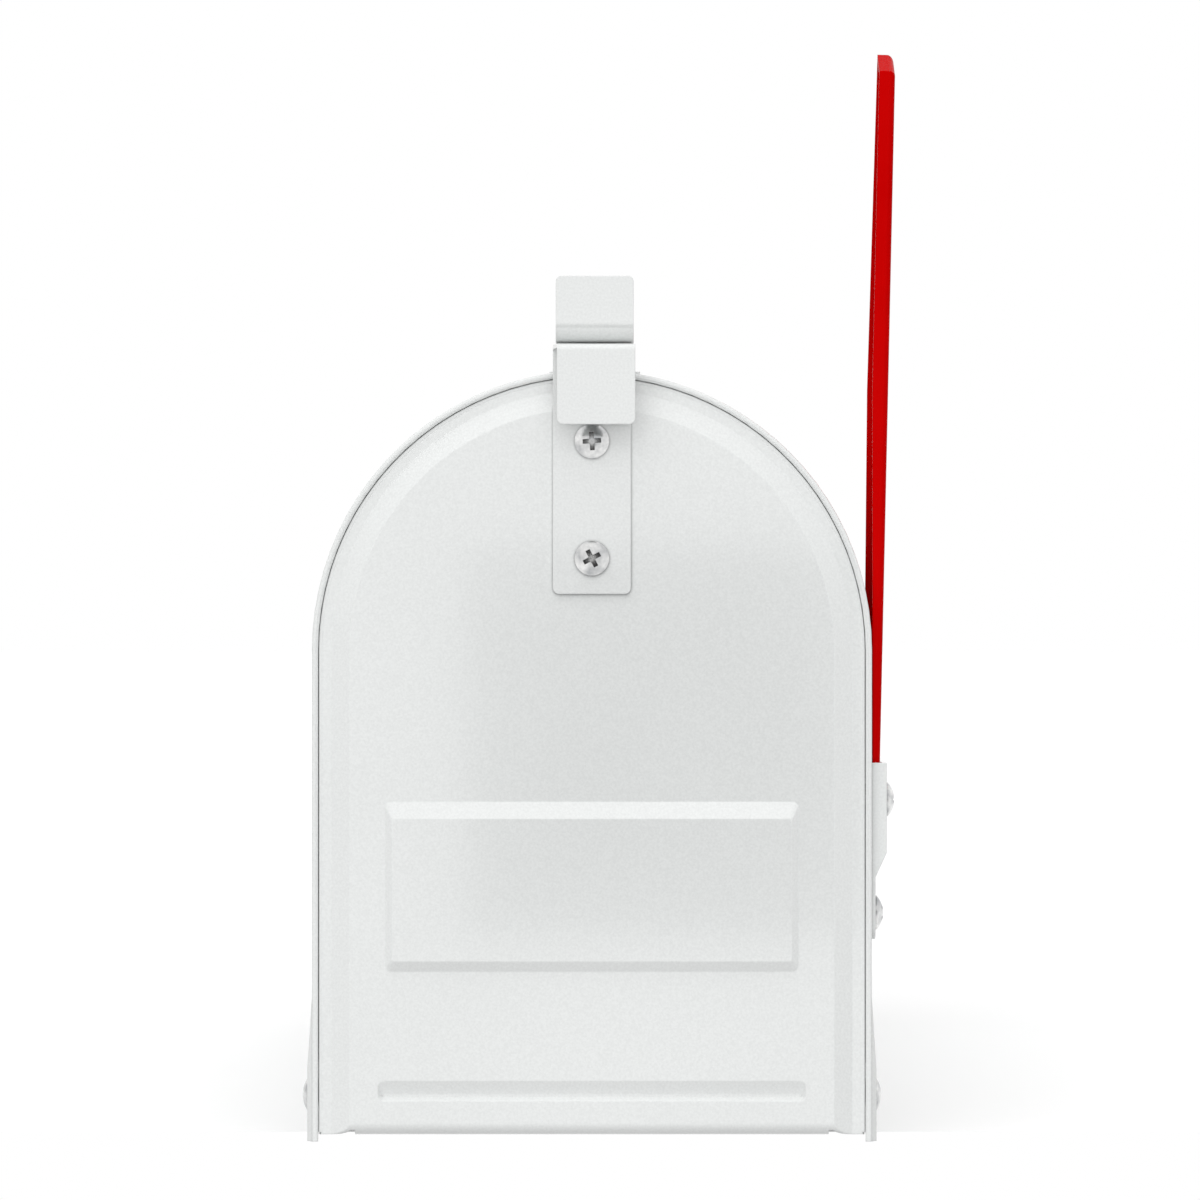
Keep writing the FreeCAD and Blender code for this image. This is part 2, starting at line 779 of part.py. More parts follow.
def build_roof_catch():
    """A spring strip on the crown: up a ramp, over the latch and turned up at the end."""
    body = new_body("roof_catch")
    thick = d.catch_sheet
    leg = fold_top + d.catch_gap
    inner_bend = d.catch_bend_inside
    bend = inner_bend + thick
    bend_start = front - d.catch_leg
    tab = bend_start - bend
    top = leg + d.catch_tab
    head = ramp_foot - d.catch_ramp_run
    shift = bend_shift(thick, leg - catch_seat, d.catch_ramp_run)
    profile = [
        corner(ramp_foot, catch_seat),
        corner(head, leg),
        corner(bend_start, leg),
        corner(tab, leg + bend, bend, CW),
        corner(tab, top),
        corner(tab + thick, top),
        corner(tab + thick, leg + bend),
        corner(bend_start, leg + thick, inner_bend, CCW),
        corner(head + shift, leg + thick),
        corner(ramp_foot + shift, catch_seat + thick),
        corner(catch_rear, catch_seat + thick),
        corner(catch_rear, catch_seat),
    ]
    half = d.catch_width / 2
    prism(body, "strip", SIDE_PLANE, [profile], d.catch_shift - half, d.catch_shift + half)
    holes = [circle(d.catch_shift, y, screw_hole) for y in catch_screw_places]
    prism(body, "screw_holes", TOP_PLANE, holes, catch_seat - MARGIN, catch_seat + thick + MARGIN, cut=True)
    round_edges(body, "corners", d.catch_corner,
                lambda edge: (runs_along(edge, 1) and lies_at(edge, 2, top))
                or (runs_along(edge, 2) and lies_at(edge, 1, catch_rear)))
    return body


# Hinge

def build_hinge_rivets():
    """Domed rivets through the bosses, with their tails formed inside the door's ears."""
    tail_start = boss_face - (door_half - d.door_sheet) + d.ear_gap
    tail_end = tail_start + d.rivet_tail_height
    dome_radius = ((d.rivet_head / 2) * (d.rivet_head / 2) + d.rivet_dome * d.rivet_dome) / (d.rivet_dome * 2)
    profile = [
        corner(0, -tail_end),
        corner(d.rivet_tail / 2, -tail_end),
        corner(d.rivet_tail / 2, -tail_start),
        corner(rivet_radius, -tail_start),
        corner(rivet_radius, 0),
        corner(d.rivet_head / 2, 0),
        corner(0, d.rivet_dome, dome_radius, CCW),
    ]
    rivets = []
    for side, sign in (("left", -1), ("right", 1)):
        body = new_body(f"hinge_rivet_{side}")
        spin_profile(body, profile)
        put(body, boss_face * sign, hinge_y, hinge_z, facing_x(sign))
        rivets.append(body)
    return group("hinge_rivets", rivets)


def build_hinge_washers():
    """Washers that fill the bosses between the wall and the door's ears."""
    outer_face = boss_face - d.body_sheet
    height = outer_face - door_half - d.ear_gap
    ring = [circle(0, 0, d.washer_outer / 2), circle(0, 0, rivet_radius + d.nut_play)]
    washers = []
    for side, sign in (("left", -1), ("right", 1)):
        body = new_body(f"hinge_washer_{side}")
        prism(body, "ring", TOP_PLANE, ring, -height, 0)
        put(body, outer_face * sign, hinge_y, hinge_z, facing_x(sign))
        washers.append(body)
    return group("hinge_washers", washers)


# Fasteners, each drawn with its head up and its seat at zero

def facing_x(sign, spin=0.0):
    turned = FreeCAD.Rotation(FreeCAD.Vector(0, 1, 0), 90.0 * sign)
    return turned * FreeCAD.Rotation(FreeCAD.Vector(0, 0, 1), spin)


def facing_front(spin):
    turned = FreeCAD.Rotation(FreeCAD.Vector(1, 0, 0), 90.0)
    return turned * FreeCAD.Rotation(FreeCAD.Vector(0, 0, 1), spin)


def facing_up(spin):
    return FreeCAD.Rotation(FreeCAD.Vector(0, 0, 1), spin)


def spin_profile(body, profile):
    """A solid of revolution about the body's own Z axis."""
    drawing = sketch(body, "profile", FRONT_PLANE, [profile], 0)
    feature = body.newObject("PartDesign::Revolution", "turned")
    feature.Profile = drawing
    feature.ReferenceAxis = (drawing, ["V_Axis"])
    feature.Angle = 360.0
    return feature


def build_screw(name, grip):
    """A pan head screw with a cross recess, long enough for its grip, its nut and a tip."""
    body = new_body(name)
    length = grip + d.nut_height + d.screw_tip
    head = d.screw_head / 2
    top = d.screw_head_edge + d.screw_dome
    dome = (head * head + d.screw_dome * d.screw_dome) / (d.screw_dome * 2)
    profile = [
        corner(0, -length),
        corner(screw_radius, -length),
        corner(screw_radius, 0),
        corner(head, 0),
        corner(head, d.screw_head_edge),
        corner(0, top, dome, CCW),
    ]
    spin_profile(body, profile)
    arm = d.recess_arm / 2
    span = d.recess_span / 2
    cross = []
    for turn_x, turn_y in ((1, 1), (-1, 1), (-1, -1), (1, -1)):
        tip_x = corner(span * turn_x, arm * turn_y)
        inner = corner(arm * turn_x, arm * turn_y)
        tip_y = corner(arm * turn_x, span * turn_y)
        cross += [tip_x, inner, tip_y] if turn_x == turn_y else [tip_y, inner, tip_x]
    prism(body, "recess", TOP_PLANE, [cross], top - d.recess_depth, top + MARGIN, cut=True)
    return body


def build_nut(name):
    """A hexagon nut that hangs down from its seat."""
    body = new_body(name)
    flat = d.nut_across_flats / 2
    side = flat / math.sqrt(3.0)
    hexagon = [
        corner(side * 2, 0),
        corner(side, flat),
        corner(-side, flat),
        corner(side * -2, 0),
        corner(-side, -flat),
        corner(side, -flat),
    ]
    bore = circle(0, 0, screw_radius + d.nut_play)
    prism(body, "hexagon", TOP_PLANE, [hexagon, bore], -d.nut_height, 0)
    return body


def build_latch_screws():
    screws, nuts = [], []
    places = (("low", latch_screw_low), ("high", latch_screw_high))
    for (name, height), spin in zip(places, LATCH_SCREW_SPINS):
        screw = build_screw(f"latch_screw_{name}", d.strap_sheet + d.door_sheet)
        put(screw, 0, strap_face, height, facing_front(spin))
        screws.append(screw)
        nut = build_nut(f"latch_nut_{name}")
        put(nut, 0, panel_face + d.door_sheet, height, facing_front(spin))
        nuts.append(nut)
    return group("latch_screws", screws), group("latch_nuts", nuts)


def build_catch_screws():
    """The nuts stop just under the curved roof, where their corners touch it."""
    nut_corner = d.nut_across_flats / math.sqrt(3.0) + d.catch_shift
    touch = spring_line + root(wall_inside * wall_inside - nut_corner * nut_corner)
    screws, nuts = [], []
    for number, (y, spin) in enumerate(zip(catch_screw_places, OTHER_SCREW_SPINS), start=1):
        screw = build_screw(f"catch_screw_{number}", catch_seat + d.catch_sheet - touch)
        put(screw, d.catch_shift, y, catch_seat + d.catch_sheet, facing_up(spin))
        screws.append(screw)
        nut = build_nut(f"catch_nut_{number}")
        put(nut, d.catch_shift, y, touch, facing_up(spin))
        nuts.append(nut)
    return group("catch_screws", screws), group("catch_nuts", nuts)


def build_flag_fasteners():
    pieces = []
    tab_face = wall + d.bracket_sheet
    for stem, seat, height, spin in (
            ("flag_pivot", pocket_face, d.pivot_height, OTHER_SCREW_SPINS[0]),
            ("bracket", tab_face, bracket_screw_height, OTHER_SCREW_SPINS[1])):
        screw = build_screw(f"{stem}_screw", seat - wall_inside)
        put(screw, seat, pivot_y, height, facing_x(1, spin))
        nut = build_nut(f"{stem}_nut")
        put(nut, wall_inside, pivot_y, height, facing_x(1, spin))
        pieces += [screw, nut]
    return pieces


# Flag

def build_flag_bracket():
    """A stamped bracket: flat lower tab, bevel and a pocket that is open at the top and the rear."""
    body = new_body("flag_bracket")
    thick = d.bracket_sheet
    tab_face = wall + thick
    shift = bend_shift(thick, d.bevel_height, d.pocket_room)
    outline = [
        corner(wall, bracket_bottom),
        corner(tab_face, bracket_bottom),
        corner(tab_face, bevel_low),
        corner(pocket_face, bevel_high),
        corner(pocket_face, bracket_top),
        corner(wall, bracket_top),
    ]
    prism(body, "blank", FRONT_PLANE, [outline], bracket_front, bracket_rear)
    hollow = [
        corner(wall, bevel_low + shift),
        corner(pocket_inside, bevel_high + shift),
        corner(pocket_inside, bracket_top + MARGIN),
        corner(wall - MARGIN, bracket_top + MARGIN),
        corner(wall - MARGIN, bevel_low + shift),
    ]
    prism(body, "pocket", FRONT_PLANE, [hollow], bracket_front + thick, bracket_rear + MARGIN, cut=True)
    holes = [circle(pivot_y, height, screw_hole) for height in (d.pivot_height, bracket_screw_height)]
    prism(body, "screw_holes", SIDE_PLANE, holes, wall - MARGIN, pocket_face + MARGIN, cut=True)
    round_edges(body, "corners", d.bracket_corner,
                lambda edge: runs_along(edge, 0) and lies_at(edge, 2, bracket_bottom))
    return body


def flag_outline(inset):
    """The flag seen from its side, about the pivot: foot, slanted shoulder and a tapering blade."""
    arm = d.flag_arm / 2 - inset
    head_rear = d.flag_head_width - d.flag_arm / 2 - inset
    shoulder = d.flag_shoulder + inset
    neck = shoulder - d.flag_head_slant
    tip_rear = d.flag_tip_width - d.flag_arm / 2 - inset
    return [
        corner(0, -arm),
        corner(arm, 0, arm, CCW),
        corner(arm, neck),
        corner(head_rear, shoulder),
        corner(tip_rear, d.flag_reach - inset * 2),
        corner(-arm, d.flag_reach - d.flag_tip_drop - inset),
        corner(-arm, 0),
        corner(0, -arm, arm, CCW),
    ][1:]


def build_flag():
    """A pan that leans out from its pivot, trimmed clear of the wall and bored for the pivot screw."""
    body = new_body("flag_pan")
    prism(body, "outside", SIDE_PLANE, [flag_outline(as_size(0))], -d.flag_depth, 0)
    round_edges(body, "outside_bend", d.flag_bend, lambda edge: lies_at(edge, 0, as_size(0)))
    prism(body, "inside", SIDE_PLANE, [flag_outline(d.flag_sheet)], -d.flag_depth - MARGIN, -d.flag_sheet,
          cut=True)
    put(body, flag_face, pivot_y, d.pivot_height, FreeCAD.Rotation(FreeCAD.Vector(0, 1, 0), 0.0))
    bind(body, "Placement.Rotation.Angle", d.flag_lean)
    trim = doc.addObject("Part::Box", "flag_trim")
    bind(trim, "Length", wall + d.flag_wall_gap)
    bind(trim, "Width", d.flag_reach * 2)
    bind(trim, "Height", d.flag_reach * 2)
    bind(trim, "Placement.Base.y", pivot_y - d.flag_reach)
    bind(trim, "Placement.Base.z", d.pivot_height - d.flag_reach / 2)
    bore = doc.addObject("Part::Cylinder", "flag_bore")
    bind(bore, "Radius", screw_radius + d.pin_play)
    bind(bore, "Height", pocket_face)
    bore.Placement.Rotation = facing_x(1)
    bind(bore, "Placement.Base.y", pivot_y)
    bind(bore, "Placement.Base.z", d.pivot_height)
    tools = doc.addObject("Part::MultiFuse", "flag_tools")
    tools.Shapes = [trim, bore]
    flag = doc.addObject("Part::Cut", "flag")
    flag.Label = "flag"
    flag.Base = body
    flag.Tool = tools
    return flag


def build_flag_spring():
    """A dished spring washer between the wall and the flag's foot."""
    body = new_body("flag_spring")
    inner = screw_hole
    outer = d.spring_outer / 2
    profile = [
        corner(outer, 0),
        corner(outer, d.spring_sheet),
        corner(inner, d.spring_height),
        corner(inner, d.spring_height - d.spring_sheet),
    ]
    spin_profile(body, profile)
    put(body, wall, pivot_y, d.pivot_height, facing_x(1))
    return body


def build_mailbox():
    nodes = [build_body_shell(), build_floor_pan(), build_rear_panel()]
    nodes += [build_door_panel(), build_door_latch(), build_roof_catch()]
    nodes += [build_hinge_rivets(), build_hinge_washers()]
    nodes += build_latch_screws()
    nodes += build_catch_screws()
    nodes += [build_flag_bracket(), build_flag(), build_flag_spring()]
    nodes += build_flag_fasteners()
    return nodes


def check_document():
    """Stops at any object that did not recompute."""
    for item in doc.Objects:
        if "Invalid" in item.State or "Error" in item.State:
            raise RuntimeError(f"{item.Name} failed: {item.State}")


def check_shape(node):
    shape = node.Shape
    if shape.isNull() or not shape.isValid() or not shape.Solids:
        raise RuntimeError(f"{node.Label} has no valid solid")


nodes = build_mailbox()
doc.recompute()
check_document()
for node in nodes:
    check_shape(node)
os.makedirs("parts", exist_ok=True)
for node in nodes:
    node.Shape.exportStep(f"parts/{node.Label}.step")
    print(node.Label, len(node.Shape.Solids), "solids", round(node.Shape.Volume), "mm3")
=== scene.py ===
"""Looks of the rural mailbox: painted and plated finishes, studio light and the photograph's camera.

Metres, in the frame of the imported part: X to the flag's side, Y to the rear, Z up.
"""
import bmesh
import bpy
import math
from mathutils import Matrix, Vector


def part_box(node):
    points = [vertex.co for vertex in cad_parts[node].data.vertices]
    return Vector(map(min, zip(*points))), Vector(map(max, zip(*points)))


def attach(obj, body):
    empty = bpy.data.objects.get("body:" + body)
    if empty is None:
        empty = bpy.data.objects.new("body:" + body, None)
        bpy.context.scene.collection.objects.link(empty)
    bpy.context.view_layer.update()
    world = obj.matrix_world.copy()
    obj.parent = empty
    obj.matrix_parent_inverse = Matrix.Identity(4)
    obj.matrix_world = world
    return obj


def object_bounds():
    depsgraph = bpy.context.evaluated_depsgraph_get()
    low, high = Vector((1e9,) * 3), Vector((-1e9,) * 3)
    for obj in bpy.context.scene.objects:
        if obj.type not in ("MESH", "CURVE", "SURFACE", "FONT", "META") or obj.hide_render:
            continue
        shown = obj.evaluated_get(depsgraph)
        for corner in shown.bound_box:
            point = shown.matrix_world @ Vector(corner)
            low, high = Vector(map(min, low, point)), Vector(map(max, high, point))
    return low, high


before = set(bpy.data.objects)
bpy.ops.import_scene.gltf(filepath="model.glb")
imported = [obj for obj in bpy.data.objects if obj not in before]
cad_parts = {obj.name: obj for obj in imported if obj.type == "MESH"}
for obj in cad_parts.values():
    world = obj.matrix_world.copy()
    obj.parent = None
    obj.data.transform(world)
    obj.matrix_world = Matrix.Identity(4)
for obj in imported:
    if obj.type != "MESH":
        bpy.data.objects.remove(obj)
cad_low, cad_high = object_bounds()
MM = 0.001
WHITE = (1, 1, 1, 1)
BLACK = (0, 0, 0, 1)

# Nodes by finish; everything else is painted white
RED_NODES = ("flag",)
PLATED_NODES = (
    "latch_screws", "latch_nuts", "catch_screws", "catch_nuts", "hinge_rivets", "hinge_washers",
    "flag_pivot_screw", "flag_pivot_nut", "flag_spring", "bracket_screw", "bracket_nut",
)

# White paint: its drift of tone, its painted highlight along edges, its painted shade in crevices and the
# share left in a dark speck
WHITE_DARK = (0.805, 0.822, 0.815)
WHITE_LIGHT = (0.825, 0.842, 0.835)
WHITE_EDGE_HIGHLIGHT = (0.93, 0.945, 0.94)
WHITE_CREVICE_SHADE = (0.40, 0.408, 0.405)
WHITE_SPECK = 0.92
WHITE_SHADE_REACH = 1.0 * MM
WHITE_PEEL_DEPTH = 0.015 * MM
WHITE_GRAIN_DEPTH = 0.010 * MM

# Red paint
RED_DARK = (0.54, 0.000, 0.000)
RED_LIGHT = (0.60, 0.001, 0.001)
RED_PEEL_DEPTH = 0.012 * MM

# Zinc plate: tone patches that paint a reflection pattern, and painted shade in its screw recesses
ZINC_DARK = (0.40, 0.41, 0.42)
ZINC_LIGHT = (0.86, 0.86, 0.85)
ZINC_RECESS_SHADE = (0.05, 0.05, 0.05)
ZINC_SHADE_REACH = 1.6 * MM
ZINC_LINE_DEPTH = 0.006 * MM

# Radius within which a sharp edge looks rounded
PAINT_EDGE = 0.50 * MM
METAL_EDGE = 0.12 * MM

# Cosine of the angle between rounded and flat surface: where the painted edge highlight is full, and
# where there is none
EDGE_TURNED = 0.76
EDGE_FLAT = 0.985

# Range that holds most of a noise's values
NOISE_LOW = 0.3
NOISE_HIGH = 0.7

# Rays that feel for edges and crevices
EDGE_SAMPLES = 6
CREVICE_SAMPLES = 8

# How far the door's rim lies behind the body's front edge
DOOR_RECESS = 1.0 * MM

# Lip round the door: height of its ends, then its section, out from the door's side and back from its rim
LIP_FOOT = 2.6 * MM
LIP_INSIDE = -0.85 * MM
LIP_OUTSIDE = 0.18 * MM
LIP_FACE = 0.008 * MM
LIP_CORNER = 0.12 * MM
LIP_DEPTH = 1.0 * MM
LIP_STEPS = 72
LIP_SHARP_DEGREES = 20

# Lights: each level is how bright a white matt surface square on to that light becomes
AMBIENT = 0.42
KEY_LEVEL = 0.46
KEY_TOWARD = (-0.12, -0.37, 0.92)
KEY_SPREAD = 80
FRONT_LEVEL = 0.39
FRONT_TOWARD = (-0.10, -0.97, 0.22)
BACK_LEVEL = 0.18
BACK_TOWARD = (0.50, 0.80, 0.30)
FILL_SPREAD = 70

# Floor: its tone, what it adds to reach white, and how far behind the body's front edge it ends
FLOOR_TONE = 0.78
FLOOR_LIFT = 0.28
FLOOR_SETBACK = 30 * MM
FLOOR_REACH = 15.0

# Dark card ahead of the door, which greys the reflection in the door's middle
CARD_X = 24 * MM
CARD_AHEAD = 350 * MM
CARD_FOOT = 38 * MM
CARD_WIDTH = 137 * MM
CARD_HEIGHT = 134 * MM

# Camera, as the photograph has it: level, square on to the door; the sensor is in millimetres
VIEW_WIDTH = 338 * MM
VIEW_CENTRE_X = 2.3 * MM
VIEW_CENTRE_Z = 153.7 * MM
CAMERA_DISTANCE = 1.6
SENSOR = 36.0


class Tree:
    """A material's node tree, with short calls that add and link nodes."""

    def __init__(self, name):
        self.material = bpy.data.materials.new(name)
        self.material.use_nodes = True
        self.nodes = self.material.node_tree.nodes
        self.links = self.material.node_tree.links
        self.shader = self.nodes["Principled BSDF"]
        self.place = self.nodes.new("ShaderNodeTexCoord").outputs["Object"]

    def link(self, source, target):
        """Joins an output to an input."""
        self.links.new(source, target)

    def set(self, **values):
        """Sets constants on the shader's sockets, which are named with _ for a space."""
        for name, value in values.items():
            self.shader.inputs[name.replace("_", " ")].default_value = value

    def feed(self, **sources):
        """Joins outputs to the shader's sockets, which are named with _ for a space."""
        for name, source in sources.items():
            self.link(source, self.shader.inputs[name.replace("_", " ")])

    def noise(self, scale, detail, roughness=0.5, density=(1, 1, 1)):
        """Noise with about `scale` grains to the metre, times `density` along each axis."""
        mapping = self.nodes.new("ShaderNodeMapping")
        mapping.inputs["Scale"].default_value = density
        self.link(self.place, mapping.inputs["Vector"])
        noise = self.nodes.new("ShaderNodeTexNoise")
        noise.inputs["Scale"].default_value = scale
        noise.inputs["Detail"].default_value = detail
        noise.inputs["Roughness"].default_value = roughness
        self.link(mapping.outputs["Vector"], noise.inputs["Vector"])
        return noise.outputs["Fac"]

    def spread(self, source, low, high):
        """Maps the middle of a noise on to the range from low to high."""
        spread = self.nodes.new("ShaderNodeMapRange")
        spread.inputs["From Min"].default_value = NOISE_LOW
        spread.inputs["From Max"].default_value = NOISE_HIGH
        spread.inputs["To Min"].default_value = low
        spread.inputs["To Max"].default_value = high
        self.link(source, spread.inputs["Value"])
        return spread.outputs["Result"]

    def tint(self, source, dark, light):
        """Colour between dark and light by a noise."""
        ramp = self.nodes.new("ShaderNodeValToRGB")
        ramp.color_ramp.elements[0].position = NOISE_LOW
        ramp.color_ramp.elements[0].color = (*dark, 1)
        ramp.color_ramp.elements[1].position = NOISE_HIGH
        ramp.color_ramp.elements[1].color = (*light, 1)
        self.link(source, ramp.inputs["Fac"])
        return ramp.outputs["Color"]

    def speckle(self, colour, source, dark):
        """Darkens a colour here and there, by a noise, down to a share of itself."""
        mix = self.nodes.new("ShaderNodeMix")
        mix.data_type = "RGBA"
        mix.blend_type = "MULTIPLY"
        mix.inputs["Factor"].default_value = 1.0
        self.link(colour, mix.inputs["A"])
        self.link(self.tint(source, (dark, dark, dark), (1, 1, 1)), mix.inputs["B"])
        return mix.outputs["Result"]

    def fade(self, colour, other, source, low, high):
        """Colour that gives way to another as the source falls from high to low."""
        amount = self.nodes.new("ShaderNodeMapRange")
        amount.inputs["From Min"].default_value = low
        amount.inputs["From Max"].default_value = high
        self.link(source, amount.inputs["Value"])
        mix = self.nodes.new("ShaderNodeMix")
        mix.data_type = "RGBA"
        mix.inputs["A"].default_value = (*other, 1)
        self.link(amount.outputs["Result"], mix.inputs["Factor"])
        self.link(colour, mix.inputs["B"])
        return mix.outputs["Result"]

    def painted_crevice_shade(self, colour, shade, reach, closed, open_):
        """Painted shade: deepens a colour towards a shade where a surface is closed in within a short
        reach.
        """
        near = self.nodes.new("ShaderNodeAmbientOcclusion")
        near.samples = CREVICE_SAMPLES
        near.inputs["Distance"].default_value = reach
        return self.fade(colour, shade, near.outputs["AO"], closed, open_)

    def round_edges(self, radius):
        """Surface direction that turns softly within a radius of each sharp edge."""
        edges = self.nodes.new("ShaderNodeBevel")
        edges.samples = EDGE_SAMPLES
        edges.inputs["Radius"].default_value = radius
        return edges.outputs["Normal"]

    def painted_edge_highlight(self, colour, light, rounded):
        """Painted highlight: lightens a colour along the edges, where the rounded surface departs from
        the flat one.
        """
        flat = self.nodes.new("ShaderNodeNewGeometry")
        likeness = self.nodes.new("ShaderNodeVectorMath")
        likeness.operation = "DOT_PRODUCT"
        self.link(rounded, likeness.inputs[0])
        self.link(flat.outputs["Normal"], likeness.inputs[1])
        return self.fade(colour, light, likeness.outputs["Value"], EDGE_TURNED, EDGE_FLAT)

    def bump(self, source, depth, under):
        """Relief of the given depth, laid over another surface direction."""
        bump = self.nodes.new("ShaderNodeBump")
        bump.inputs["Distance"].default_value = depth
        self.link(source, bump.inputs["Height"])
        self.link(under, bump.inputs["Normal"])
        return bump.outputs["Normal"]


def white_powder_coat():
    """Satin white paint with an orange-peel surface, a fine grain, a slight drift of tone, painted edge
    highlights and painted shade in crevices.
    """
    tree = Tree("white_powder_coat")
    drift = tree.noise(scale=14, detail=3)
    peel = tree.noise(scale=750, detail=1, density=(0.6, 0.6, 1))
    grain = tree.noise(scale=1500, detail=2)
    rounded = tree.round_edges(PAINT_EDGE)
    tone = tree.tint(drift, WHITE_DARK, WHITE_LIGHT)
    speckled = tree.speckle(tone, grain, WHITE_SPECK)
    # Painted highlight along the edges of the white paint
    highlighted = tree.painted_edge_highlight(speckled, WHITE_EDGE_HIGHLIGHT, rounded)
    # Painted shade in crevices and beside parts that stand on the paint
    colour = tree.painted_crevice_shade(highlighted, WHITE_CREVICE_SHADE, WHITE_SHADE_REACH, closed=0.30, open_=0.88)
    relief = tree.bump(peel, WHITE_PEEL_DEPTH, rounded)
    tree.feed(
        Base_Color=colour,
        Roughness=tree.spread(peel, low=0.17, high=0.23),
        Normal=tree.bump(grain, WHITE_GRAIN_DEPTH, relief),
    )
    tree.set(IOR=1.85, Coat_Weight=1.0, Coat_Roughness=0.09)
    return tree.material


def red_enamel():
    """Deep red paint with a soft orange peel and hardly any sheen."""
    tree = Tree("red_enamel")
    drift = tree.noise(scale=30, detail=3)
    peel = tree.noise(scale=500, detail=2)
    tree.feed(
        Base_Color=tree.tint(drift, RED_DARK, RED_LIGHT),
        Roughness=tree.spread(peel, low=0.20, high=0.30),
        Normal=tree.bump(peel, RED_PEEL_DEPTH, tree.round_edges(PAINT_EDGE)),
    )
    tree.set(Specular_IOR_Level=0.01)
    return tree.material


def bright_zinc():
    """Bright plated steel with faint drawing lines, patchy gloss, tone patches as a painted reflection
    and painted shade in its recesses.
    """
    tree = Tree("bright_zinc")
    # Painted reflection: patches of darker and lighter tone over the plate
    reflection_patches = tree.noise(scale=260, detail=4)
    patch = tree.noise(scale=700, detail=4, roughness=0.6)
    lines = tree.noise(scale=900, detail=2, density=(1, 1, 7))
    tone = tree.tint(reflection_patches, ZINC_DARK, ZINC_LIGHT)
    # The base colour takes painted shade in the screw recesses
    tree.feed(
        Base_Color=tree.painted_crevice_shade(tone, ZINC_RECESS_SHADE, ZINC_SHADE_REACH, closed=0.35, open_=0.80),
        Roughness=tree.spread(patch, low=0.12, high=0.26),
        Normal=tree.bump(lines, ZINC_LINE_DEPTH, tree.round_edges(METAL_EDGE)),
    )
    tree.set(Metallic=1.0)
    return tree.material


def dress_nodes(white, red, zinc):
    """Gives every carried-over node its finish."""
    for name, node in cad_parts.items():
        finish = white
        if name in RED_NODES:
            finish = red
        if name in PLATED_NODES:
            finish = zinc
        node.data.materials.clear()
        node.data.materials.append(finish)


def door_outline():
    """Stations round the door, from foot to foot: place in x and z, then outward direction in x and z."""
    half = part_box("door_panel")[1].x
    arch_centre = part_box("door_panel")[1].z - half
    stations = [(half, LIP_FOOT, 1, 0)]
    for step in range(LIP_STEPS + 1):
        turn = math.pi * step / LIP_STEPS
        across = math.cos(turn)
        up = math.sin(turn)
        stations.append((half * across, arch_centre + half * up, across, up))
    stations.append((-half, LIP_FOOT, -1, 0))
    return stations


def make_door_lip(finish):
    """Lip round the door's edge that closes most of the running gap to the body."""
    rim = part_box("body_shell")[0].y + DOOR_RECESS
    section = [
        (LIP_INSIDE - LIP_CORNER, LIP_CORNER),
        (LIP_INSIDE, LIP_FACE),
        (LIP_OUTSIDE - LIP_CORNER, LIP_FACE),
        (LIP_OUTSIDE, LIP_FACE + LIP_CORNER),
        (LIP_OUTSIDE, LIP_DEPTH),
        (LIP_INSIDE / 2, LIP_DEPTH),
    ]
    mesh = bmesh.new()
    rings = []
    for x, z, across, up in door_outline():
        places = [(x + across * out, rim + back, z + up * out) for out, back in section]
        rings.append([mesh.verts.new(place) for place in places])
    for ring, following in zip(rings, rings[1:]):
        for index in range(len(section)):
            after = (index + 1) % len(section)
            mesh.faces.new((ring[index], ring[after], following[after], following[index]))
    mesh.faces.new(rings[0])
    mesh.faces.new(rings[-1])
    bmesh.ops.recalc_face_normals(mesh, faces=mesh.faces)
    data = bpy.data.meshes.new("door_lip")
    mesh.to_mesh(data)
    mesh.free()
    data.shade_smooth()
    data.set_sharp_from_angle(angle=math.radians(LIP_SHARP_DEGREES))
    data.materials.append(finish)
    lip = bpy.data.objects.new("door_lip", data)
    bpy.context.scene.collection.objects.link(lip)
    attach(lip, "door")


def seen_directly(nodes, links):
    """Factor that is 1 for camera, glossy and transmission rays, and 0 for all others."""
    path = nodes.new("ShaderNodeLightPath")
    seen = path.outputs["Is Camera Ray"]
    for kind in ("Is Glossy Ray", "Is Transmission Ray"):
        larger = nodes.new("ShaderNodeMath")
        larger.operation = "MAXIMUM"
        links.new(seen, larger.inputs[0])
        links.new(path.outputs[kind], larger.inputs[1])
        seen = larger.outputs["Value"]
    return seen


def make_world():
    """White to the camera and in reflections, a softer level as ambient light."""
    world = bpy.data.worlds.new("studio")
    bpy.context.scene.world = world
    world.use_nodes = True
    nodes = world.node_tree.nodes
    links = world.node_tree.links
    ambient = nodes["Background"]
    ambient.inputs["Color"].default_value = WHITE
    ambient.inputs["Strength"].default_value = AMBIENT
    backdrop = nodes.new("ShaderNodeBackground")
    backdrop.inputs["Color"].default_value = WHITE
    backdrop.inputs["Strength"].default_value = 1.0
    mix = nodes.new("ShaderNodeMixShader")
    links.new(seen_directly(nodes, links), mix.inputs["Fac"])
    links.new(ambient.outputs["Background"], mix.inputs[1])
    links.new(backdrop.outputs["Background"], mix.inputs[2])
    links.new(mix.outputs["Shader"], nodes["World Output"].inputs["Surface"])


def stage_face(name, corners):
    """One flat face of the studio, with a material of the same name that has no shader yet."""
    mesh = bpy.data.meshes.new(name)
    mesh.from_pydata(corners, [], [tuple(range(len(corners)))])
    material = bpy.data.materials.new(name)
    material.use_nodes = True
    material.node_tree.nodes.remove(material.node_tree.nodes["Principled BSDF"])
    mesh.materials.append(material)
    item = bpy.data.objects.new(name, mesh)
    bpy.context.scene.collection.objects.link(item)
    return item


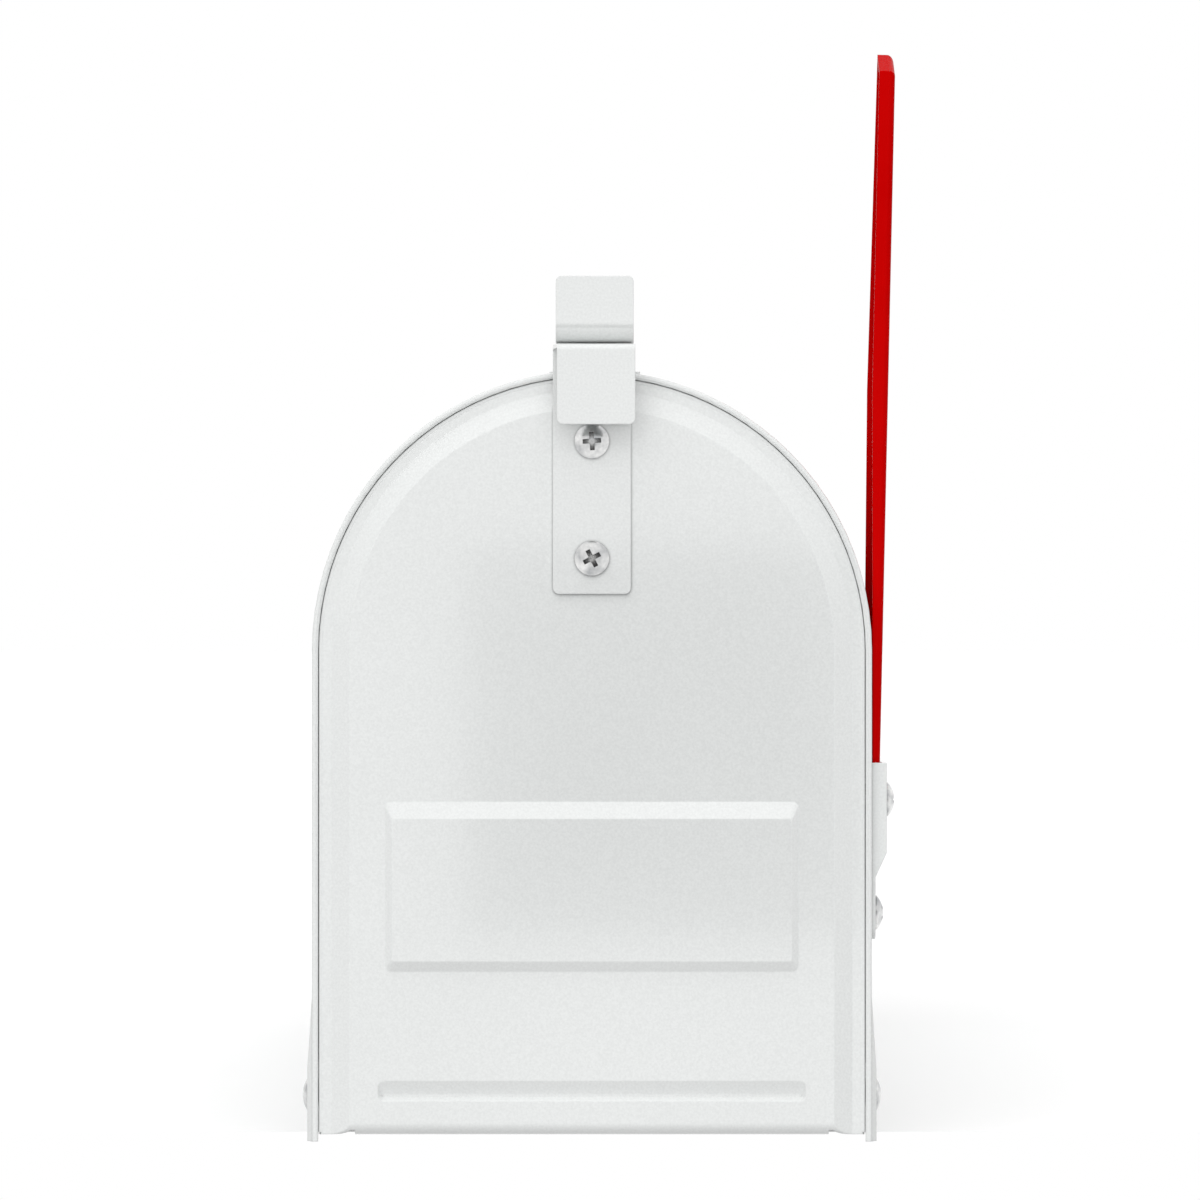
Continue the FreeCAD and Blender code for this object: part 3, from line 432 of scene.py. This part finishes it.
def make_floor():
    """Pale floor that takes the object's shadow and meets the white backdrop.

    It ends a little behind the door's hinge, as a table would, so that the open door can hang below it.
    """
    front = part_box("body_shell")[0].y + FLOOR_SETBACK
    corners = [
        (-FLOOR_REACH, front, 0),
        (FLOOR_REACH, front, 0),
        (FLOOR_REACH, FLOOR_REACH, 0),
        (-FLOOR_REACH, FLOOR_REACH, 0),
    ]
    tree = stage_face("floor", corners).active_material.node_tree
    nodes = tree.nodes
    links = tree.links
    matt = nodes.new("ShaderNodeBsdfDiffuse")
    matt.inputs["Color"].default_value = (FLOOR_TONE, FLOOR_TONE, FLOOR_TONE, 1)
    lift = nodes.new("ShaderNodeEmission")
    scale = nodes.new("ShaderNodeMath")
    scale.operation = "MULTIPLY"
    scale.inputs[1].default_value = FLOOR_LIFT
    links.new(seen_directly(nodes, links), scale.inputs[0])
    links.new(scale.outputs["Value"], lift.inputs["Strength"])
    both = nodes.new("ShaderNodeAddShader")
    links.new(matt.outputs["BSDF"], both.inputs[0])
    links.new(lift.outputs["Emission"], both.inputs[1])
    links.new(both.outputs["Shader"], nodes["Material Output"].inputs["Surface"])


def make_dark_card():
    """Upright black card that faces the door's middle and is seen only in reflections."""
    side = Vector((-CARD_AHEAD, -CARD_X, 0)).normalized() * CARD_WIDTH / 2
    foot = Vector((CARD_X, cad_low.y - CARD_AHEAD, CARD_FOOT))
    rise = Vector((0, 0, CARD_HEIGHT))
    corners = [foot - side, foot + side, foot + side + rise, foot - side + rise]
    card = stage_face("dark_card", corners)
    tree = card.active_material.node_tree
    dark = tree.nodes.new("ShaderNodeEmission")
    dark.inputs["Color"].default_value = BLACK
    tree.links.new(dark.outputs["Emission"], tree.nodes["Material Output"].inputs["Surface"])
    card.visible_camera = False
    card.visible_diffuse = False
    card.visible_shadow = False
    card.visible_transmission = False


def sun(name, level, toward, spread):
    """Broad soft light that comes from the direction `toward`, as wide as `spread` degrees.

    It leaves no glare of its own: reflections show the white studio instead.
    """
    data = bpy.data.lights.new(name, "SUN")
    data.energy = level * math.pi
    data.angle = math.radians(spread)
    lamp = bpy.data.objects.new(name, data)
    lamp.rotation_mode = "QUATERNION"
    lamp.rotation_quaternion = Vector(toward).to_track_quat("Z", "Y")
    lamp.visible_glossy = False
    bpy.context.scene.collection.objects.link(lamp)


def make_camera():
    """Level camera that looks along +Y and takes in the view's width at the part's front."""
    data = bpy.data.cameras.new("camera")
    data.sensor_width = SENSOR
    data.lens = SENSOR * CAMERA_DISTANCE / VIEW_WIDTH
    camera = bpy.data.objects.new("camera", data)
    camera.location = (VIEW_CENTRE_X, cad_low.y - CAMERA_DISTANCE, VIEW_CENTRE_Z)
    camera.rotation_euler = (math.radians(90), 0, 0)
    bpy.context.scene.collection.objects.link(camera)
    bpy.context.scene.camera = camera


bpy.context.scene.view_settings.view_transform = "Standard"
white_paint = white_powder_coat()
dress_nodes(white_paint, red_enamel(), bright_zinc())
make_door_lip(white_paint)
make_world()
make_floor()
make_dark_card()
sun("key", KEY_LEVEL, KEY_TOWARD, KEY_SPREAD)
sun("front_fill", FRONT_LEVEL, FRONT_TOWARD, FILL_SPREAD)
sun("back_fill", BACK_LEVEL, BACK_TOWARD, FILL_SPREAD)
make_camera()
